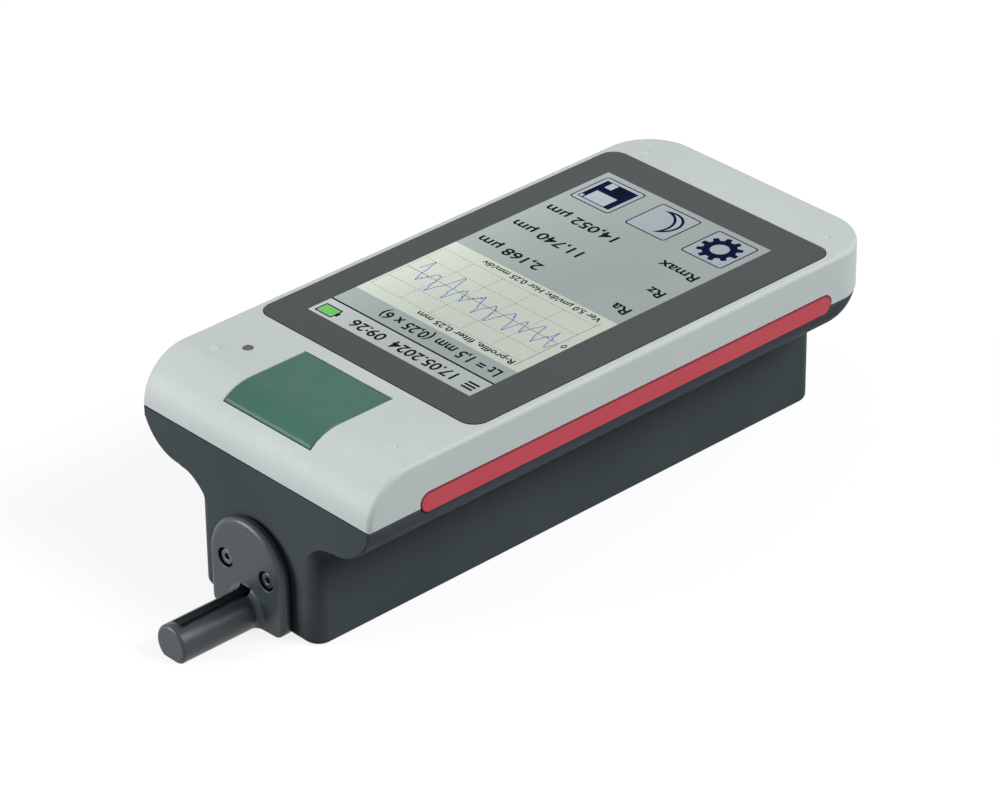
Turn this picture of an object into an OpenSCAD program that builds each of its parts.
// Handheld surface roughness tester: a drive unit with a touch display, a start key
// and a pick-up that is pulled back through a slotted guard tube.
// The base lies on z = 0, the pick-up end faces -Y and the display faces +Z.

/* [Body] */
// Width over the top shell
body_w = 76.5; // [70:0.5:84]
// Length of the body without the pick-up guard
body_l = 160; // [150:1:176]
// Height from the base to the top face
body_h = 50.75; // [46:0.25:56]
// Height of the top shell, which is also the radius of its front roll
shell_h = 12.5; // [11.5:0.25:14]
// Gap that shows along the seam
seam_gap = 0.3; // [0.1:0.05:0.5]
// Wall thickness of the two mouldings
wall = 2; // [1.7:0.1:2.2]
// Rounding of the top edges
edge_r = 1.3; // [1:0.1:2]
// Plan radius of the rear corners
rear_corner_r = 13.5; // [11:0.5:14]
// Height of the tongue that closes the seam from inside
tongue_h = 1.6; // [1:0.1:2]
// Thickness of that tongue
tongue_t = 1; // [0.8:0.1:1.2]

/* [Lower housing] */
// Width of the narrow box under the wings
box_w = 39.8; // [36:0.2:42]
// Radius of the box's upright edges
box_corner_r = 4; // [3:0.5:6]
// How far the box stops short of the rear end
box_setback = 2.2; // [2:0.1:4]
// Depth of the wings below the seam
lip_r = 10.4; // [9.5:0.1:11]
// How far above the seam the curve of the undersides would start
lip_lead = 1.8; // [0:0.1:2.5]
// Radius of the hollow between wing and box
grip_fillet_r = 6; // [4.5:0.1:7]
// Rounding of the base edge
base_edge_r = 1.5; // [0.5:0.1:1.8]
// Floor left under the pick-up
trough_floor = 0.9; // [0.7:0.1:1]

/* [Display] */
// Rim of the shell beside the touch glass
glass_rim = 2.1; // [2.1:0.1:5]
// Corner radius of the touch glass
glass_r = 4; // [2:0.5:6]
// Thickness of the touch glass
glass_t = 1.1; // [0.9:0.1:1.2]
// Distance from the front face to the glass
glass_front = 32.6; // [32:0.1:40]
// Distance from the glass to the rear face
glass_rear = 14.3; // [14:0.1:20]
// Gap around the glass
glass_gap = 0.15; // [0.1:0.05:0.3]
// Thickness of the tape frame under the glass
tape_t = 0.2; // [0.1:0.05:0.3]
// Ledge under each long side of the glass
ledge_side = 2.25; // [1.8:0.05:4]
// Ledge under each short side of the glass
ledge_end = 3.5; // [3:0.1:6]
// Thickness of the display module
lcd_t = 3; // [2.6:0.1:3.2]
// Thickness of the frame that carries the display
frame_t = 1.3; // [1:0.1:1.5]
// Height of the spacers between that frame and the main board
spacer_h = 4.3; // [4:0.1:4.6]
// Thickness of the main board
board_t = 1.4; // [1:0.1:1.6]

/* [Start key] */
// Width of the key
key_w = 28.8; // [24:0.2:32]
// Length of the key, seen from above
key_l = 23.7; // [20:0.1:25]
// Distance from the front face to the key
key_front = 4.6; // [3.8:0.1:6]
// Gap around the key
key_gap = 0.25; // [0.2:0.05:0.4]
// Thickness of the key
key_t = 2.2; // [1.8:0.1:2.4]
// Travel of the key
key_travel = 0.6; // [0.4:0.1:0.7]

/* [Side strips] */
// Height of a strip
strip_h = 5; // [4:0.1:5.4]
// Distance from the front face to a strip
strip_front = 15.2; // [14:0.1:20]
// Distance from a strip to the rear face
strip_rear = 16.6; // [14:0.1:24]
// Depth that a strip is let into the wall
strip_t = 1.1; // [0.8:0.1:1.2]
// Part of the strip's height that lies under the seam
strip_drop = 1.5; // [1.2:0.1:1.8]

/* [Pick-up guard] */
// Width of the guard plate
plate_w = 24.8; // [22:0.2:28]
// Thickness of the guard plate
plate_t = 3.3; // [3:0.1:4]
// Height of the centre of the plate's round top
plate_round_z = 13.5; // [13:0.1:15]
// Rounding of the plate's front edge
plate_edge_r = 1.4; // [0.5:0.1:1.6]
// Rounding of the plate's lower corners
plate_corner_r = 3.2; // [1:0.1:3.5]
// Thickness of the land that holds the plate off the housing
plate_land = 1; // [0.5:0.1:1.2]
// Width of the shadow gap round that land
plate_shadow = 1.2; // [0.5:0.1:2]
// Length of the guard tube beyond the stroke
tube_spare = 4.6; // [4:0.1:8]
// Radius of the guard tube
tube_r = 4.8; // [4.6:0.1:5.2]
// Radius of the tube's bore
tube_bore_r = 2.9; // [2.7:0.1:3.1]
// Wall at the closed end of the tube
tube_end = 2.4; // [2:0.1:2.6]
// Rounding of the tube's end
tube_edge_r = 0.9; // [0.2:0.1:1.2]
// Radius of the hollow between tube and plate
tube_root_r = 1.6; // [0.5:0.1:2]
// Width of the slot on top
slot_w = 3.65; // [3:0.05:4]
// Width of the slot underneath, for skid and stylus
nose_slot_w = 2.8; // [2.4:0.1:3]
// Distance between the two guard screws
guard_screw_pitch = 13.8; // [13:0.1:14.4]

/* [Drive] */
// Travel of the pick-up
traverse = 17.5; // [10:0.5:20]
// Height of the pick-up axis
pickup_z = 3.55; // [3.5:0.05:3.7]
// Radius of the pick-up tube
pickup_r = 2; // [1.9:0.05:2.1]
// Radius of the guide rods
rod_r = 1.5; // [1.2:0.1:1.6]
// Height of the guide rods
rod_z = 13; // [12.6:0.1:13.5]
// Height of the lead screw
screw_z = 19; // [18.6:0.1:19.2]
// Radius of the lead screw
screw_r = 2; // [1.8:0.1:2.1]
// Running clearance of rods, pins and journals
run_gap = 0.05; // [0.03:0.01:0.08]
// Clearance of pieces that are fitted and stay
fit_gap = 0.02; // [0.01:0.01:0.04]
// Module of the drive gears
gear_module = 0.4; // [0.36:0.01:0.42]
// Teeth of the gear on the lead screw
gear_teeth = 36; // [34:1:38]
// Teeth of the motor pinion
pinion_teeth = 14; // [13:1:15]
// Width of the gear
gear_t = 3; // [2:0.1:3.4]
// Play between the teeth
backlash = 0.12; // [0.08:0.01:0.16]
// Radius of the motor can
motor_r = 5.6; // [5:0.1:5.8]
// Length of the motor can
motor_l = 23; // [18:0.5:26]
// Length of the carriage
carriage_l = 18; // [17:0.5:22]

/* [Battery] */
// Gap between the battery pack and the box walls
battery_side_gap = 1.2; // [0.5:0.1:3]
// Height of the battery pack
battery_h = 19.5; // [14:0.5:22]

/* [Hidden] */
$fn = 96;
eps = 0.01;
far = 200;

// Colours of the mouldings and inner pieces
shell_grey = [0.73, 0.77, 0.76];
anthracite = [0.22, 0.25, 0.27];
glass_grey = [0.25, 0.28, 0.28];
key_green = [0.28, 0.42, 0.37];
strip_red = [0.70, 0.25, 0.31];
steel = [0.72, 0.73, 0.75];
brass = [0.78, 0.64, 0.33];
dark = [0.12, 0.12, 0.13];

// Reference planes of the body
half_w = body_w / 2;
front_y = -body_l / 2;
rear_y = body_l / 2;
seam_z = body_h - shell_h;
roll_r = shell_h;
roll_y = front_y + roll_r;
corner_x = half_w - rear_corner_r;
corner_y = rear_y - rear_corner_r;
ceiling_z = body_h - wall;
shell_foot_z = seam_z + seam_gap / 2;
housing_rim_z = seam_z - seam_gap / 2;
wing_z = seam_z - lip_r;
box_half = box_w / 2;
box_rear_y = rear_y - box_setback;
lip_start = min(lip_lead, rear_corner_r - lip_r);
fillet_r = min(grip_fillet_r, half_w - lip_r - lip_start - box_half);
tongue_gap = 0.25;
tongue_root = 3;
tongue_inset = wall + tongue_gap + tongue_t;

// Case screws stand under the small nubs at the four corners of the top face
nub_inset = 8.6;
nub_behind_roll = 2.3;
nub_rear_inset = 10.35;
nub_x = half_w - nub_inset;
nub_front_y = roll_y + nub_behind_roll;
nub_rear_y = rear_y - nub_rear_inset;
nub_r = 1.05;
nub_h = 0.5;
case_boss_r = 4;
shell_boss_r = 3.2;
case_screw_r = 1.2;
case_head_r = 2.2;
case_head_h = 1.6;
case_head_depth = 5;
case_head_gap = 0.3;
case_screw_gap = 0.2;
case_hex_r = 1.1;
case_hex_depth = 0.9;
case_screw_bite = 6;
blind_end = 0.6;

// Display stack, from the glass down to the main board
glass_w = body_w - 2 * glass_rim;
glass_l = body_l - glass_front - glass_rear;
glass_cy = front_y + glass_front + glass_l / 2;
ledge_z = body_h - glass_t - tape_t;
lcd_gap = 0.3;
lcd_w = glass_w - 2 * (ledge_side + lcd_gap);
lcd_l = glass_l - 2 * (ledge_end + lcd_gap);
lcd_top_z = ledge_z;
lcd_z = lcd_top_z - lcd_t;
frame_z = lcd_z - frame_t;
board_top_z = frame_z - spacer_h;
board_z = board_top_z - board_t;
frame_rim = 0.8;
frame_corner_r = 2;
frame_bar = 15;
frame_bar_end = 12;
post_r = 2.5;
post_inset = 11.6;
post_past_lcd = 5.6;
ear_margin = 0.5;
post_x = lcd_w / 2 - post_inset;
post_front_y = glass_cy - lcd_l / 2 - post_past_lcd;
post_rear_y = glass_cy + lcd_l / 2 + post_past_lcd;
board_screw_r = 1;
board_screw_bite = 1.6;
board_hole_r = 1.1;
board_head_r = 1.8;
board_head_h = 1.2;
spacer_r = 2.2;
board_side_gap = 2;
board_end_gap = 0.5;
board_front = 10;
board_w = body_w - 2 * (tongue_inset + board_side_gap);
board_y0 = front_y + board_front;
board_y1 = rear_y - tongue_inset - board_end_gap;
boss_gap = 1.2;
boss_reach = shell_boss_r + boss_gap;
chip_h = 1.4;
chip_l = 14;

// Socket for charging and data at the rear end
port_w = 9;
port_h = 3.2;
port_l = 7.5;
port_shell = 0.35;
port_gap = 0.4;
port_corner_r = 0.9;
port_web = 1;
port_tongue_w = 6;
port_tongue_t = 0.7;
port_y1 = rear_y - wall / 2;

// Start key, its stem and the switch under it
key_y0 = front_y + key_front;
key_y1 = key_y0 + key_l;
key_stem_r = 2;
key_stem_inset = 9;
key_stem_y = key_y1 - key_stem_inset;
key_flange = 0.9;
key_flange_t = 1;
key_flange_gap = 0.2;
key_flange_top = ceiling_z - key_flange_gap;
switch_w = 6;
switch_h = 3;
plunger_r = 1.6;
plunger_h = 1.9;
plunger_seat = 0.9;
plunger_z = board_top_z + switch_h - plunger_seat;
plunger_well = key_travel + 0.3;

// Status lens beside the key
lens_inset = 13.8;
lens_front = 20.1;
lens_recess = 0.1;
lens_x = lens_inset - half_w;
lens_y = front_y + lens_front;
lens_r = 1.2;
lens_flange_r = 2;
lens_flange_t = 1;
lens_clear = 1;

// Side strips
strip_y0 = front_y + strip_front;
strip_l = body_l - strip_front - strip_rear;
strip_z0 = seam_z - strip_drop;
strip_gap = 0.12;

// Pick-up guard
plate_y = front_y - plate_t;
tube_y = plate_y - traverse - tube_spare;
guard_z = 0.1;
notch_rise = 0.9;
notch_z = pickup_z + tube_r + notch_rise;
slot_y = tube_y + tube_end;
nose_slot_start = 0.2;
guard_head_r = 1.9;
guard_head_h = 2;
guard_bore_r = 2.4;
guard_seat = 0.5;
guard_screw_r = 1;
guard_screw_l = 6.4;
guard_boss_r = 2.6;
guard_boss_l = 4.6;
guard_screw_gap = 0.1;
hex_r = 0.85;
hex_depth = 1.2;
mouth_w = 6.4;

// Traverse drive, placed from the front wall and as long as its stroke needs
drive_setback = 7;
drive_side_gap = 1.2;
drive_plate_t = 3;
drive_rail_t = 2;
drive_z = 5;
drive_top = 27;
drive_rail_top = 17;
carriage_clear = 10;
drive_y0 = front_y + drive_setback;
carriage_y0 = drive_y0 + drive_plate_t + carriage_clear;
carriage_y1 = carriage_y0 + carriage_l;
drive_y1 = carriage_y1 + traverse + carriage_clear + drive_plate_t;
drive_half = box_half - wall - drive_side_gap;
rod_inset = 5.5;
rod_x_place = drive_half - rod_inset;
foot_inset = 4.5;
foot_x = drive_half - foot_inset;
foot_w = 5.4;
foot_l = 6;
foot_t = 2;
foot_front_y = drive_y0 + drive_plate_t + foot_l / 2;
foot_rear_y = drive_y1 - drive_plate_t - foot_l / 2;
drive_screw_r = 0.95;
drive_screw_gap = 0.1;
drive_head_r = 1.8;
drive_head_h = 1.2;
drive_post_r = 2.6;
journal_r = 1.25;
bush_r = 2.4;
bush_flange_r = 3.2;
bush_flange_t = 0.6;
end_play = 0.2;

// Gear pair between the rear plate and the motor plate
gear_side_gap = 1.5;
gear_y = drive_y1 + gear_side_gap;
motor_plate_y = gear_y + gear_t + gear_side_gap;
motor_y = motor_plate_y + drive_plate_t;
motor_x = gear_module * (gear_teeth + pinion_teeth) / 2;
motor_shaft_r = 0.75;
motor_shaft_root = 5.8;
motor_nose_r = 2;
motor_nose_gap = 1;
pinion_over = 0.2;
shaft_over = 0.6;

// Carriage and the fork under it
carriage_side_gap = 0.6;
carriage_half = drive_half - drive_rail_t - carriage_side_gap;
carriage_rise = 5;
carriage_z = pickup_z + carriage_rise;
rod_cover = 4;
nut_r = 2.9;
nut_l = 12;
nut_cover = 0.5;
hump_w = 13;
hump_r = 4;
hump_inset = 2;
fork_x = 3.1;
fork_t = 1.7;
fork_z = 1.7;
fork_front = 3;
fork_rear = 4;
fork_room = 0.6;
trough_half = fork_x + fork_t + fork_room;
float_place = 12;
float_y = carriage_y0 + float_place;
float_r = 0.6;

// Pick-up and stylus
tail_front = 7;
tail_rear = 4;
tail_gap = 0.3;
tail_rise = 2.8;
tail_half = fork_x - tail_gap;
tail_top = pickup_z + tail_rise;
nose_gap = 0.6;
nose_wall = 0.4;
nose_y = slot_y + nose_gap;
pickup_bore_r = 1.4;
stylus_setback = 1.9;
stylus_l = 17.5;
stylus_y = nose_y + stylus_setback;
stylus_pivot_y = stylus_y + stylus_l;
stylus_r = 0.4;
stylus_over = 0.4;
stylus_pin_r = 0.3;
stylus_pin_recess = 0.2;
stylus_hub_r = 0.75;
stylus_hub_w = 1.4;
stylus_tip_z = 0.3;
tip_r = 0.25;
tip_end_r = 0.04;
tip_shank_z = 1.1;
skid_z = 0.35;
skid_l = 1;
skid_w = 1.8;
skid_r = 2.9;
coil_l = 6;
coil_gap = 1.2;
coil_bore_r = 0.7;
nose_window = 1.4;
spring_t = 0.2;
spring_w = 3;
spring_foot = 0.5;
spring_foot_l = 2.5;
spring_tip = 5;
spring_lip = 1;

// Battery, filling the box behind the motor
battery_gap = 4;
battery_end_gap = 5;
battery_corner_r = 2;
battery_w = box_w - 2 * (wall + battery_side_gap);
battery_y0 = motor_y + motor_l + battery_gap;
battery_y1 = box_rear_y - wall - battery_end_gap;
battery_tape_t = 0.3;
battery_tape_w = 6;
battery_tape_inset = 3;
rib_t = 1.2;
rib_h = 8;
rib_gap = 0.3;

// Cutter that rounds one outer corner: everything outside an arc about the origin
module corner_cut2d(r) {
  difference() {
    square(r + 1);
    circle(r);
  }
}

// Rectangle from the origin whose far corner is rounded
module one_round2d(w, h, r) {
  difference() {
    square([w, h]);
    if (r > 0) translate([w - r, h - r]) corner_cut2d(r);
  }
}

// Rectangle centred on x whose two upper corners are rounded
module two_round2d(w, h, r) {
  difference() {
    translate([-w / 2, 0]) square([w, h]);
    if (r > 0) {
      translate([w / 2 - r, h - r]) corner_cut2d(r);
      translate([r - w / 2, h - r]) mirror([1, 0]) corner_cut2d(r);
    }
  }
}

// Rectangle with four round corners, centred on the origin
module rounded2d(w, l, r) {
  difference() {
    square([w, l], center = true);
    for (a = [0, 1], b = [0, 1])
      mirror([a, 0]) mirror([0, b]) translate([w / 2 - r, l / 2 - r]) corner_cut2d(r);
  }
}

// Profile in the YZ plane, extruded along X over a width that is centred on x = 0
module across_x(width) {
  translate([-width / 2, 0, 0]) rotate([90, 0, 90]) linear_extrude(width) children();
}

// Profile in the XZ plane, extruded along Y from y0 to y1
module along_y(y0, y1) {
  translate([0, y1, 0]) rotate([90, 0, 0]) linear_extrude(y1 - y0) children();
}

// Rod along Y
module rod_y(r, y0, y1) {
  translate([0, y1, 0]) rotate([90, 0, 0]) cylinder(r = r, h = y1 - y0);
}

// Rod along X, centred on x = 0
module rod_x(r, length) {
  rotate([0, 90, 0]) cylinder(r = r, h = length, center = true);
}

// Places at the four case screws
module at_case_screws() {
  for (x = [-nub_x, nub_x], y = [nub_front_y, nub_rear_y]) translate([x, y, 0]) children();
}

// Places at the four board screws
module at_board_screws() {
  for (x = [-post_x, post_x], y = [post_front_y, post_rear_y]) translate([x, y, 0]) children();
}

// Places at the four drive screws
module at_drive_screws() {
  for (x = [-foot_x, foot_x], y = [foot_front_y, foot_rear_y]) translate([x, y, 0]) children();
}

// Plan outline of the body, drawn in by an inset
module plan2d(inset) {
  difference() {
    translate([inset - half_w, front_y + inset]) square([body_w - 2 * inset, body_l - 2 * inset]);
    for (s = [0, 1]) mirror([s, 0]) translate([corner_x, corner_y]) corner_cut2d(rear_corner_r - inset);
  }
}

// Upper form with its front roll, drawn in by an inset, with top edges rounded by r
module shell_form(inset, r) {
  w = body_w - 2 * inset;
  h = roll_r - inset;
  corner = rear_corner_r - inset;
  translate([0, 0, seam_z]) {
    along_y(roll_y, corner_y) two_round2d(w, h, r);
    translate([0, roll_y, 0]) rotate([180, 0, 0]) rotate([0, 90, 0]) rotate_extrude(angle = 90)
      difference() {
        translate([0, -w / 2]) square([h, w]);
        if (r > 0) for (s = [0, 1]) mirror([0, s]) translate([h - r, w / 2 - r]) corner_cut2d(r);
      }
    translate([0, corner_y, 0]) across_x(2 * corner_x) one_round2d(corner, h, r);
    for (s = [0, 1]) mirror([s, 0, 0]) translate([corner_x, corner_y, 0])
      rotate_extrude(angle = 90) one_round2d(corner, h, r);
  }
}

// Wide wings under the seam, with undersides that curve in, drawn in by an inset
module wing_form(inset) {
  w = body_w - 2 * inset;
  r = lip_r + lip_start - inset;
  corner = rear_corner_r - inset;
  translate([0, 0, seam_z + lip_start]) mirror([0, 0, 1]) {
    along_y(front_y + inset, corner_y) two_round2d(w, r, r);
    translate([0, corner_y, 0]) across_x(2 * corner_x) one_round2d(corner, r, r);
    for (s = [0, 1]) mirror([s, 0, 0]) translate([corner_x, corner_y, 0])
      rotate_extrude(angle = 90) one_round2d(corner, r, r);
  }
}

// Narrow box under the wings, drawn in by an inset, with its base edge rounded by r
module box_form(inset, r) {
  w = box_w - 2 * inset;
  corner = box_corner_r - inset;
  h = seam_z - inset;
  y0 = front_y + box_corner_r;
  y1 = box_rear_y - box_corner_r;
  straight = box_w - 2 * box_corner_r;
  translate([0, 0, seam_z]) mirror([0, 0, 1]) {
    along_y(y0, y1) two_round2d(w, h, r);
    translate([0, y1, 0]) across_x(straight) one_round2d(corner, h, r);
    mirror([0, 1, 0]) translate([0, -y0, 0]) across_x(straight) one_round2d(corner, h, r);
    for (s = [0, 1]) mirror([s, 0, 0]) {
      translate([straight / 2, y1, 0]) rotate_extrude(angle = 90) one_round2d(corner, h, r);
      translate([straight / 2, y0, 0]) mirror([0, 1, 0]) rotate_extrude(angle = 90) one_round2d(corner, h, r);
    }
  }
}

// Section of the hollow between wing and box, measured from the box wall
module fillet2d(overlap) {
  difference() {
    translate([-overlap, wing_z - fillet_r]) square(fillet_r + overlap);
    translate([fillet_r, wing_z - fillet_r]) circle(fillet_r);
  }
}

// Concave blends under both wings: straight along the box, round at its front edge, nosed at the rear
module grip_fillets() {
  y0 = front_y + box_corner_r;
  nose = corner_y - 1;
  overlap = 0.5;
  for (s = [0, 1]) mirror([s, 0, 0]) {
    intersection() {
      translate([box_half, 0, 0]) along_y(y0, corner_y + fillet_r) fillet2d(overlap);
      union() {
        translate([0, y0 - 1, 0]) cube([far, nose - y0 + 1, far]);
        translate([box_half, nose, 0]) cylinder(r = fillet_r + overlap, h = far);
      }
    }
    intersection() {
      translate([box_half - box_corner_r, y0, 0]) mirror([0, 1, 0]) rotate_extrude(angle = 90)
        translate([box_corner_r, 0]) fillet2d(overlap);
      translate([0, front_y, 0]) cube([far, far, far]);
    }
  }
}

// Outline of a side strip in the YZ plane, grown by a gap
module strip2d(gap) {
  translate([strip_y0 + strip_l / 2, strip_z0 + strip_h / 2])
    rounded2d(strip_l + 2 * gap, strip_h + 2 * gap, strip_h / 2 + gap - eps);
}

// Pockets for both side strips
module strip_pockets() {
  for (s = [0, 1]) mirror([s, 0, 0])
    translate([half_w - strip_t - strip_gap, 0, 0]) rotate([90, 0, 90])
      linear_extrude(far) strip2d(strip_gap);
}

// Upper moulding with front roll, glass seat, key opening and bosses
module top_shell() {
  color(shell_grey) difference() {
    union() {
      difference() {
        shell_form(0, edge_r);
        shell_form(wall, 0);
        translate([-far, -far, shell_foot_z - far]) cube([2 * far, 2 * far, far]);
      }
      intersection() {
        union() {
          at_case_screws() translate([0, 0, shell_foot_z])
            cylinder(r = shell_boss_r, h = ceiling_z + eps - shell_foot_z);
          at_board_screws() translate([0, 0, lcd_z]) cylinder(r = post_r, h = ceiling_z + eps - lcd_z);
        }
        translate([0, 0, shell_foot_z]) linear_extrude(body_h) plan2d(wall / 2);
      }
      at_case_screws() intersection() {
        translate([0, 0, body_h + nub_h - nub_r]) sphere(nub_r);
        translate([-far / 2, -far / 2, body_h - eps]) cube([far, far, far]);
      }
    }
    translate([0, glass_cy, ledge_z]) linear_extrude(far)
      rounded2d(glass_w + 2 * glass_gap, glass_l + 2 * glass_gap, glass_r + glass_gap);
    translate([-lcd_w / 2 - lcd_gap, glass_cy - lcd_l / 2 - lcd_gap, seam_z])
      cube([lcd_w + 2 * lcd_gap, lcd_l + 2 * lcd_gap, far]);
    translate([-key_w / 2 - key_gap, key_y0 - key_gap, seam_z + wall])
      cube([key_w + 2 * key_gap, key_l + 2 * key_gap, far]);
    translate([lens_x, lens_y, seam_z]) cylinder(r = lens_r + run_gap, h = far);
    at_case_screws() translate([0, 0, seam_z - far])
      cylinder(r = case_screw_r + fit_gap, h = far + seam_gap / 2 + case_screw_bite + blind_end);
    at_board_screws() cylinder(r = board_screw_r + fit_gap, h = lcd_z + board_screw_bite + blind_end);
    translate([0, port_y1 - wall, board_top_z + port_h / 2]) rotate([-90, 0, 0])
      linear_extrude(far) rounded2d(port_w + 2 * port_gap, port_h + 2 * port_gap, port_corner_r + port_gap);
    strip_pockets();
  }
}

// Lower moulding: a narrow box with wings, floor trough, posts and ribs
module bottom_housing() {
  color(anthracite) difference() {
    union() {
      difference() {
        union() {
          wing_form(0);
          box_form(0, base_edge_r);
          grip_fillets();
        }
        wing_form(wall);
        box_form(wall, 0);
        translate([-far, -far, housing_rim_z]) cube([2 * far, 2 * far, far]);
      }
      translate([0, 0, seam_z - tongue_root]) linear_extrude(tongue_root + tongue_h) difference() {
        plan2d(wall + tongue_gap);
        plan2d(tongue_inset);
      }
      intersection() {
        at_case_screws() translate([0, 0, wing_z]) cylinder(r = case_boss_r, h = housing_rim_z - wing_z);
        wing_form(wall / 2);
      }
      for (s = [-1, 1]) translate([s * guard_screw_pitch / 2, 0, plate_round_z])
        rod_y(guard_boss_r, front_y + wall - eps, front_y + wall + guard_boss_l);
      at_drive_screws() translate([0, 0, wall - eps]) cylinder(r = drive_post_r, h = drive_z - wall + eps);
      for (y = [battery_y0 - rib_gap - rib_t, battery_y1 + rib_gap])
        translate([-box_half + wall / 2, y, wall - eps]) cube([box_w - wall, rib_t, rib_h]);
    }
    translate([-trough_half, front_y + wall - eps, trough_floor])
      cube([2 * trough_half, float_y + fork_rear + traverse + fork_rear - front_y - wall, drive_z]);
    translate([-mouth_w / 2, front_y - 1, trough_floor]) cube([mouth_w, wall + 2, notch_z - trough_floor]);
    at_case_screws() {
      translate([0, 0, wing_z - 1]) cylinder(r = case_head_r + case_head_gap, h = case_head_depth + 1);
      translate([0, 0, wing_z]) cylinder(r = case_screw_r + case_screw_gap, h = far);
    }
    for (s = [-1, 1]) translate([s * guard_screw_pitch / 2, 0, plate_round_z])
      rod_y(guard_screw_r + fit_gap, front_y - 1, front_y + wall + guard_boss_l - blind_end);
    at_drive_screws() translate([0, 0, wall - blind_end]) cylinder(r = drive_screw_r + fit_gap, h = drive_z);
    for (s = [0, 1]) mirror([s, 0, 0]) translate([half_w - edge_r, front_y + edge_r, 0])
      mirror([0, 1, 0]) linear_extrude(far) corner_cut2d(edge_r);
    strip_pockets();
  }
}

// Touch glass, flush with the shell
module touch_glass() {
  color(glass_grey) translate([0, glass_cy, body_h - glass_t])
    linear_extrude(glass_t) rounded2d(glass_w, glass_l, glass_r);
}

// Frame of tape that bonds the glass to its ledge
module glass_tape() {
  color(dark) translate([0, glass_cy, ledge_z]) linear_extrude(tape_t) difference() {
    rounded2d(glass_w, glass_l, glass_r);
    square([lcd_w + 2 * lcd_gap, lcd_l + 2 * lcd_gap], center = true);
  }
}

// Display module behind the glass
module display_panel() {
  color("lightgrey") translate([-lcd_w / 2, glass_cy - lcd_l / 2, lcd_z]) cube([lcd_w, lcd_l, lcd_t]);
}

// Carrier frame with a rim round the display and ears at the posts
module display_frame() {
  w = lcd_w + 2 * (lcd_gap + frame_rim);
  l = lcd_l + 2 * (lcd_gap + frame_rim);
  ear_w = 2 * (post_r + ear_margin);
  color(dark) difference() {
    union() {
      translate([0, glass_cy, frame_z]) linear_extrude(frame_t) rounded2d(w, l, frame_corner_r);
      for (x = [-post_x, post_x])
        translate([x - ear_w / 2, post_front_y - ear_w / 2, frame_z])
          cube([ear_w, post_rear_y - post_front_y + ear_w, frame_t]);
      translate([0, glass_cy, frame_z]) linear_extrude(frame_t + lcd_t / 2) difference() {
        rounded2d(w, l, frame_corner_r);
        square([lcd_w + 2 * lcd_gap, lcd_l + 2 * lcd_gap], center = true);
      }
    }
    translate([0, glass_cy, 0]) linear_extrude(far)
      rounded2d(lcd_w - 2 * frame_bar, lcd_l - 2 * frame_bar_end, 2 * frame_corner_r);
    at_board_screws() cylinder(r = board_hole_r, h = far);
  }
}

// Main circuit board, narrow between the bosses at both ends, with its larger components
module main_board() {
  narrow = 2 * (nub_x - boss_reach);
  wide_y0 = nub_front_y + boss_reach;
  wide_y1 = nub_rear_y - boss_reach;
  color("darkgreen") difference() {
    union() {
      translate([-board_w / 2, wide_y0, board_z]) cube([board_w, wide_y1 - wide_y0, board_t]);
      translate([-narrow / 2, board_y0, board_z]) cube([narrow, board_y1 - board_y0, board_t]);
      for (x = [-1.6, 0, 1.6], y = [-1, 1])
        translate([x * chip_l - chip_l / 2, glass_cy + y * 2 * chip_l - chip_l / 2, board_top_z - eps])
          cube([chip_l, chip_l, chip_h]);
    }
    at_board_screws() cylinder(r = board_hole_r, h = far);
  }
}

// Spacers between the display frame and the main board
module board_spacers() {
  color(brass) at_board_screws() translate([0, 0, board_top_z]) difference() {
    cylinder(r = spacer_r, h = spacer_h);
    translate([0, 0, -1]) cylinder(r = board_hole_r, h = spacer_h + 2);
  }
}

// Screws that hold board, spacers and frame to the shell
module board_screws() {
  color(steel) at_board_screws() {
    translate([0, 0, board_z - board_head_h]) cylinder(r = board_head_r, h = board_head_h);
    translate([0, 0, board_z - eps]) cylinder(r = board_screw_r, h = lcd_z + board_screw_bite - board_z);
  }
}

// Socket for charging and data, open to the rear
module data_port() {
  color(steel) translate([0, port_y1, board_top_z + port_h / 2]) rotate([90, 0, 0]) difference() {
    linear_extrude(port_l) rounded2d(port_w, port_h, port_corner_r);
    translate([0, 0, -eps]) linear_extrude(port_l - port_web) difference() {
      rounded2d(port_w - 2 * port_shell, port_h - 2 * port_shell, port_corner_r - port_shell);
      square([port_tongue_w, port_tongue_t], center = true);
    }
  }
}

// Start key: a plate that follows the front roll, with flange and stem
module start_key() {
  color(key_green) {
    difference() {
      intersection() {
        shell_form(0, 0);
        translate([-key_w / 2, key_y0, seam_z]) cube([key_w, key_l, far]);
      }
      shell_form(key_t, 0);
    }
    translate([-key_w / 2 - key_flange, roll_y, key_flange_top - key_flange_t])
      cube([key_w + 2 * key_flange, key_y1 + key_flange - roll_y, key_flange_t]);
    translate([0, key_stem_y, plunger_z + plunger_h])
      cylinder(r = key_stem_r, h = key_flange_top - plunger_z - plunger_h);
  }
}

// Body of the switch under the key, with a well for its plunger
module key_switch() {
  color(dark) difference() {
    translate([-switch_w / 2, key_stem_y - switch_w / 2, board_top_z]) cube([switch_w, switch_w, switch_h]);
    translate([0, key_stem_y, plunger_z - plunger_well]) cylinder(r = plunger_r + run_gap, h = far);
  }
}

// Plunger that the key's stem pushes into the switch
module switch_plunger() {
  color("dimgray") translate([0, key_stem_y, plunger_z]) cylinder(r = plunger_r, h = plunger_h);
}

// Light pipe whose end shows as a dark dot beside the key
module status_lens() {
  color("dimgray") translate([lens_x, lens_y, 0]) {
    translate([0, 0, board_top_z + lens_clear])
      cylinder(r = lens_r, h = body_h - lens_recess - board_top_z - lens_clear);
    translate([0, 0, ceiling_z - lens_flange_t - lens_recess]) cylinder(r = lens_flange_r, h = lens_flange_t);
  }
}

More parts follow.
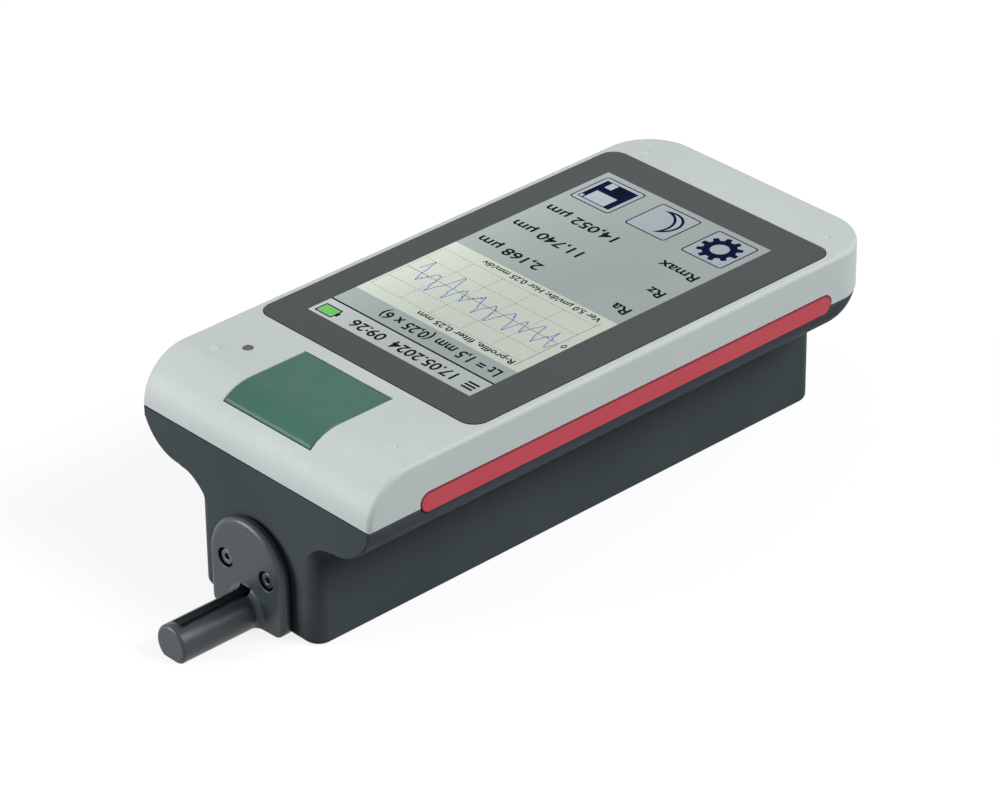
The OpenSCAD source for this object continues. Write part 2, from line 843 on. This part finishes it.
// Strip let into the side, across the seam
module side_strip() {
  color(strip_red) translate([half_w - strip_t, 0, 0]) rotate([90, 0, 90]) linear_extrude(strip_t) strip2d(0);
}

module strip_right() {
  side_strip();
}

module strip_left() {
  mirror([1, 0, 0]) side_strip();
}

// Guard plate on its land: straight sides under a round top, with a rounded front edge and lower corners
module guard_plate() {
  translate([0, front_y, plate_round_z]) rotate([90, 0, 0]) difference() {
    union() {
      rotate_extrude(angle = 180) difference() {
        one_round2d(plate_w / 2, plate_t, plate_edge_r);
        translate([plate_w / 2 - plate_shadow, -1]) square([plate_shadow + 1, plate_land + 1]);
      }
      rotate([90, 0, 0]) linear_extrude(plate_round_z - guard_z) difference() {
        two_round2d(plate_w, plate_t, plate_edge_r);
        for (s = [0, 1]) mirror([s, 0])
          translate([plate_w / 2 - plate_shadow, -1]) square([plate_shadow + 1, plate_land + 1]);
      }
    }
    translate([0, 0, -1]) linear_extrude(plate_t + 2) for (s = [0, 1]) mirror([s, 0])
      translate([plate_w / 2 - plate_corner_r, guard_z - plate_round_z + plate_corner_r])
        mirror([0, 1]) corner_cut2d(plate_corner_r);
  }
}

// Guard tube with a rounded closed end, a hollow at its root and a flat underside
module guard_tube() {
  intersection() {
    translate([0, front_y, pickup_z]) rotate([90, 0, 0]) rotate_extrude() {
      one_round2d(tube_r, front_y - tube_y, tube_edge_r);
      difference() {
        translate([tube_r - eps, plate_t - eps]) square(tube_root_r + eps);
        translate([tube_r + tube_root_r, plate_t + tube_root_r]) circle(tube_root_r);
      }
    }
    translate([-far, -far, guard_z]) cube([2 * far, 2 * far, far]);
  }
}

// Guard: a screwed plate and a slotted tube, in one piece
module pickup_guard() {
  color(anthracite) difference() {
    union() {
      guard_plate();
      guard_tube();
    }
    translate([0, 0, pickup_z]) rod_y(tube_bore_r, slot_y - nose_slot_start, front_y + 1);
    translate([-slot_w / 2, slot_y, pickup_z]) cube([slot_w, front_y - slot_y + 1, notch_z - pickup_z]);
    translate([-nose_slot_w / 2, slot_y + nose_slot_start, guard_z - 1])
      cube([nose_slot_w, front_y - 1 - slot_y, pickup_z + 1 - guard_z]);
    for (s = [-1, 1]) translate([s * guard_screw_pitch / 2, 0, plate_round_z]) {
      rod_y(guard_bore_r, plate_y - 1, plate_y + guard_seat + guard_head_h);
      rod_y(guard_screw_r + guard_screw_gap, plate_y, front_y + 1);
    }
  }
}

// Two socket head screws of the guard
module guard_screws() {
  head_y = plate_y + guard_seat;
  color(steel) for (s = [-1, 1]) translate([s * guard_screw_pitch / 2, 0, plate_round_z]) difference() {
    union() {
      rod_y(guard_head_r, head_y, head_y + guard_head_h);
      rod_y(guard_screw_r, head_y + guard_head_h - eps, head_y + guard_head_h + guard_screw_l);
    }
    translate([0, head_y + hex_depth, 0]) rotate([90, 0, 0]) cylinder(r = hex_r, h = 2 * hex_depth, $fn = 6);
  }
}

// Four screws that close the case from under the wings
module case_screws() {
  seat_z = wing_z + case_head_depth;
  color(steel) at_case_screws() difference() {
    union() {
      translate([0, 0, seat_z - case_head_h]) cylinder(r = case_head_r, h = case_head_h);
      translate([0, 0, seat_z - eps]) cylinder(r = case_screw_r, h = shell_foot_z + case_screw_bite - seat_z);
    }
    translate([0, 0, seat_z - case_head_h - 1]) cylinder(r = case_hex_r, h = case_hex_depth + 1, $fn = 6);
  }
}

// Frame of the traverse drive: two end plates and a motor plate, joined by two rails, on four feet
module drive_frame() {
  w = 2 * drive_half;
  color("silver") difference() {
    union() {
      for (y = [drive_y0, drive_y1 - drive_plate_t, motor_plate_y])
        translate([-drive_half, y, drive_z]) cube([w, drive_plate_t, drive_top - drive_z]);
      for (s = [0, 1]) mirror([s, 0, 0]) {
        translate([drive_half - drive_rail_t, drive_y0, drive_z])
          cube([drive_rail_t, motor_y - drive_y0, drive_rail_top - drive_z]);
        for (y = [foot_front_y, foot_rear_y])
          translate([foot_x - foot_w / 2, y - foot_l / 2 - eps, drive_z])
            cube([drive_half - foot_x + foot_w / 2, foot_l + 2 * eps, foot_t]);
      }
    }
    translate([-trough_half, drive_y0 - 1, 0]) cube([2 * trough_half, drive_plate_t + 2, tail_top + fork_room]);
    for (s = [-1, 1]) translate([s * rod_x_place, 0, rod_z])
      rod_y(rod_r + fit_gap, drive_y0 - 1, drive_y1 + eps);
    translate([0, 0, screw_z]) rod_y(bush_r + fit_gap, drive_y0 - 1, drive_y1 + eps);
    translate([motor_x, 0, screw_z]) rod_y(motor_nose_r + fit_gap, motor_plate_y - eps, motor_y + eps);
    at_drive_screws() cylinder(r = drive_screw_r + drive_screw_gap, h = drive_z + foot_t + 1);
  }
}

// Four screws that hold the drive frame on its posts
module drive_screws() {
  color(steel) at_drive_screws() {
    translate([0, 0, drive_z + foot_t]) cylinder(r = drive_head_r, h = drive_head_h);
    translate([0, 0, wall]) cylinder(r = drive_screw_r, h = drive_z + foot_t - wall + eps);
  }
}

// Two guide rods, pressed into the end plates
module guide_rods() {
  color(steel) for (s = [-1, 1]) translate([s * rod_x_place, 0, rod_z]) rod_y(rod_r, drive_y0, drive_y1);
}

// Two flanged bushes of the lead screw
module screw_bushes() {
  color(brass) translate([0, 0, screw_z]) difference() {
    union() {
      rod_y(bush_r, drive_y0, drive_y0 + drive_plate_t + eps);
      rod_y(bush_flange_r, drive_y0 + drive_plate_t, drive_y0 + drive_plate_t + bush_flange_t);
      rod_y(bush_r, drive_y1 - drive_plate_t - eps, drive_y1);
      rod_y(bush_flange_r, drive_y1 - drive_plate_t - bush_flange_t, drive_y1 - drive_plate_t);
    }
    rod_y(journal_r + run_gap / 2, drive_y0 - 1, drive_y1 + 1);
  }
}

// Lead screw with a journal at each end and a seat for its gear
module lead_screw() {
  shoulder = drive_plate_t + bush_flange_t + end_play;
  color(steel) translate([0, 0, screw_z]) {
    rod_y(journal_r, drive_y0, gear_y + gear_t);
    rod_y(screw_r, drive_y0 + shoulder, drive_y1 - shoulder);
  }
}

// Angle that an involute has swept where it reaches radius r, in degrees
function involute_angle(base_r, r) =
  let (t = sqrt(pow(r / base_r, 2) - 1)) t * 180 / PI - atan(t);

// Point of a tooth flank at radius r, on one side of the tooth's centre line
function flank_point(base_r, r, half_angle, side) =
  let (a = side * (half_angle - involute_angle(base_r, max(r, base_r)))) [r * cos(a), r * sin(a)];

// Outline of a spur gear with involute flanks
module gear2d(teeth, module_size, play) {
  pitch_r = teeth * module_size / 2;
  base_r = pitch_r * cos(20);
  root_r = pitch_r - 1.25 * module_size;
  tip_r = pitch_r + 0.9 * module_size;
  half_angle = 90 / teeth - play / 4 / pitch_r * 180 / PI + involute_angle(base_r, pitch_r);
  steps = [root_r, max(base_r, root_r + eps), (pitch_r + base_r) / 2, pitch_r, (pitch_r + tip_r) / 2, tip_r];
  flank = [for (r = steps) flank_point(base_r, r, half_angle, -1)];
  back = [for (i = [len(steps) - 1:-1:0]) flank_point(base_r, steps[i], half_angle, 1)];
  tooth = concat(flank, back);
  polygon([for (n = [0:teeth - 1]) for (p = tooth)
    let (a = n * 360 / teeth) [p[0] * cos(a) - p[1] * sin(a), p[0] * sin(a) + p[1] * cos(a)]]);
}

// Gear on the lead screw, with a tooth that points at the pinion
module spindle_gear() {
  color(brass) translate([0, 0, screw_z]) along_y(gear_y, gear_y + gear_t) difference() {
    gear2d(gear_teeth, gear_module, backlash);
    circle(journal_r + fit_gap);
  }
}

// Motor can behind its plate, with the nose that centres it there
module drive_motor() {
  color("silver") translate([motor_x, 0, screw_z]) difference() {
    union() {
      rod_y(motor_r, motor_y, motor_y + motor_l);
      rod_y(motor_nose_r, motor_plate_y + motor_nose_gap, motor_y + eps);
    }
    rod_y(motor_shaft_r + run_gap, motor_plate_y, motor_y + motor_shaft_root + end_play);
  }
}

// Motor shaft
module motor_shaft() {
  color(steel) translate([motor_x, 0, screw_z])
    rod_y(motor_shaft_r, gear_y - shaft_over, motor_y + motor_shaft_root);
}

// Pinion on the motor shaft, turned so that a gap faces the gear
module motor_pinion() {
  color(brass) translate([motor_x, 0, screw_z]) along_y(gear_y - pinion_over, gear_y + gear_t + pinion_over)
    difference() {
      rotate(180 + 180 / pinion_teeth) gear2d(pinion_teeth, gear_module, backlash);
      circle(motor_shaft_r + fit_gap);
    }
}

// Carriage that runs on the rods, with a fork for the pick-up underneath
module carriage() {
  hump_top = screw_z + nut_r + nut_cover;
  color("gainsboro") difference() {
    union() {
      translate([-carriage_half, carriage_y0, carriage_z])
        cube([2 * carriage_half, carriage_l, rod_z + rod_cover - carriage_z]);
      along_y(carriage_y0 + hump_inset, carriage_y1 - hump_inset)
        translate([0, rod_z]) two_round2d(hump_w, hump_top - rod_z, hump_r);
      for (s = [0, 1]) mirror([s, 0, 0]) translate([fork_x, float_y - fork_front, fork_z])
        cube([fork_t, fork_front + fork_rear, carriage_z - fork_z + eps]);
    }
    for (s = [-1, 1]) translate([s * rod_x_place, 0, rod_z])
      rod_y(rod_r + run_gap, carriage_y0 - 1, carriage_y1 + 1);
    translate([0, 0, screw_z]) rod_y(nut_r + fit_gap, carriage_y0 - 1, carriage_y1 + 1);
    translate([0, float_y, pickup_z]) rod_x(float_r + fit_gap, far / 4);
  }
}

// Nut on the lead screw
module drive_nut() {
  color(brass) translate([0, 0, screw_z]) difference() {
    rod_y(nut_r, carriage_y0 + hump_inset + 1, carriage_y0 + hump_inset + 1 + nut_l);
    rod_y(screw_r + run_gap, carriage_y0, carriage_y1);
  }
}

// Pin on which the pick-up floats
module float_pin() {
  color(steel) translate([0, float_y, pickup_z]) rod_x(float_r, 2 * (fork_x + fork_t));
}

// Leaf spring that presses the pick-up down
module float_spring() {
  foot_y = carriage_y0 + spring_foot;
  bend_y = foot_y + spring_foot_l;
  tip_y = float_y - spring_tip;
  tip_z = tail_top + spring_t / 4;
  color(steel) across_x(spring_w) polygon([[foot_y, carriage_z], [foot_y, carriage_z - spring_t],
    [bend_y, carriage_z - spring_t], [tip_y, tip_z], [tip_y + spring_lip, tip_z],
    [tip_y + spring_lip, tip_z + spring_t], [tip_y, tip_z + spring_t], [bend_y, carriage_z]]);
}

// Pick-up: a slim tube with a closed nose, and a square tail in the fork
module pickup_body() {
  tail_y = float_y - tail_front;
  color("dimgray") difference() {
    union() {
      translate([0, 0, pickup_z]) rod_y(pickup_r, nose_y, tail_y + eps);
      translate([-tail_half, tail_y, pickup_z - pickup_r])
        cube([2 * tail_half, tail_front + tail_rear, pickup_r + tail_rise]);
    }
    translate([0, 0, pickup_z])
      rod_y(pickup_bore_r, nose_y + nose_wall, stylus_pivot_y + 2 * coil_gap + coil_l);
    translate([-nose_window / 2, stylus_y - nose_window / 2, 0]) cube([nose_window, nose_window, pickup_z]);
    translate([0, float_y, pickup_z]) rod_x(float_r + run_gap, far / 4);
    translate([0, stylus_pivot_y, pickup_z]) rod_x(stylus_pin_r + fit_gap, far / 4);
  }
}

// Skid under the nose, round across the direction of travel
module skid() {
  y1 = stylus_y - nose_window / 2;
  y0 = y1 - skid_l;
  color("crimson") difference() {
    intersection() {
      translate([-skid_w / 2, y0, 0]) cube([skid_w, skid_l, pickup_z]);
      translate([0, 0, skid_z + skid_r]) rod_y(skid_r, y0 - 1, y1 + 1);
    }
    translate([0, 0, pickup_z]) rod_y(pickup_r + fit_gap, y0 - 1, y1 + 1);
  }
}

// Coil that senses the stylus lever
module sensing_coil() {
  y0 = stylus_pivot_y + 2 * coil_gap;
  color("chocolate") translate([0, 0, pickup_z]) difference() {
    rod_y(pickup_bore_r - fit_gap, y0, y0 + coil_l);
    rod_y(coil_bore_r, y0 - 1, y0 + coil_l + 1);
  }
}

// Pivot pin of the stylus lever
module stylus_pin() {
  color(steel) translate([0, stylus_pivot_y, pickup_z]) rod_x(stylus_pin_r, 2 * (pickup_r - stylus_pin_recess));
}

// Stylus lever with a hub on its pin
module stylus_arm() {
  color(steel) translate([0, 0, pickup_z]) difference() {
    union() {
      rod_y(stylus_r, stylus_y - stylus_over, stylus_pivot_y + coil_gap);
      translate([0, stylus_pivot_y, 0]) rod_x(stylus_hub_r, stylus_hub_w);
    }
    translate([0, stylus_pivot_y, 0]) rod_x(stylus_pin_r + run_gap / 2, far / 4);
  }
}

// Diamond tip on a short shank
module stylus_tip() {
  color("white") difference() {
    translate([0, stylus_y, 0]) {
      translate([0, 0, tip_shank_z]) cylinder(r = tip_r, h = pickup_z - tip_shank_z);
      translate([0, 0, stylus_tip_z])
        cylinder(r1 = tip_end_r, r2 = tip_r, h = tip_shank_z - stylus_tip_z + eps);
    }
    translate([0, 0, pickup_z]) rod_y(stylus_r, stylus_y - 1, stylus_y + 1);
    translate([-1, stylus_y - 1, pickup_z]) cube([2, 2, 1]);
  }
}

// Rechargeable battery pack
module battery_pack() {
  color("steelblue") translate([0, (battery_y0 + battery_y1) / 2, wall + battery_tape_t])
    linear_extrude(battery_h) rounded2d(battery_w, battery_y1 - battery_y0, battery_corner_r);
}

// Two strips of tape under the battery
module battery_tape() {
  color("ivory") for (s = [-1, 1])
    translate([s * battery_w / 4 - battery_tape_w / 2, battery_y0 + battery_tape_inset, wall])
      cube([battery_tape_w, battery_y1 - battery_y0 - 2 * battery_tape_inset, battery_tape_t]);
}

top_shell();
bottom_housing();
touch_glass();
glass_tape();
display_panel();
display_frame();
main_board();
board_spacers();
board_screws();
data_port();
start_key();
key_switch();
switch_plunger();
status_lens();
strip_right();
strip_left();
pickup_guard();
guard_screws();
case_screws();
drive_frame();
drive_screws();
guide_rods();
screw_bushes();
lead_screw();
spindle_gear();
drive_motor();
motor_shaft();
motor_pinion();
carriage();
drive_nut();
float_pin();
float_spring();
pickup_body();
skid();
sensing_coil();
stylus_pin();
stylus_arm();
stylus_tip();
battery_pack();
battery_tape();
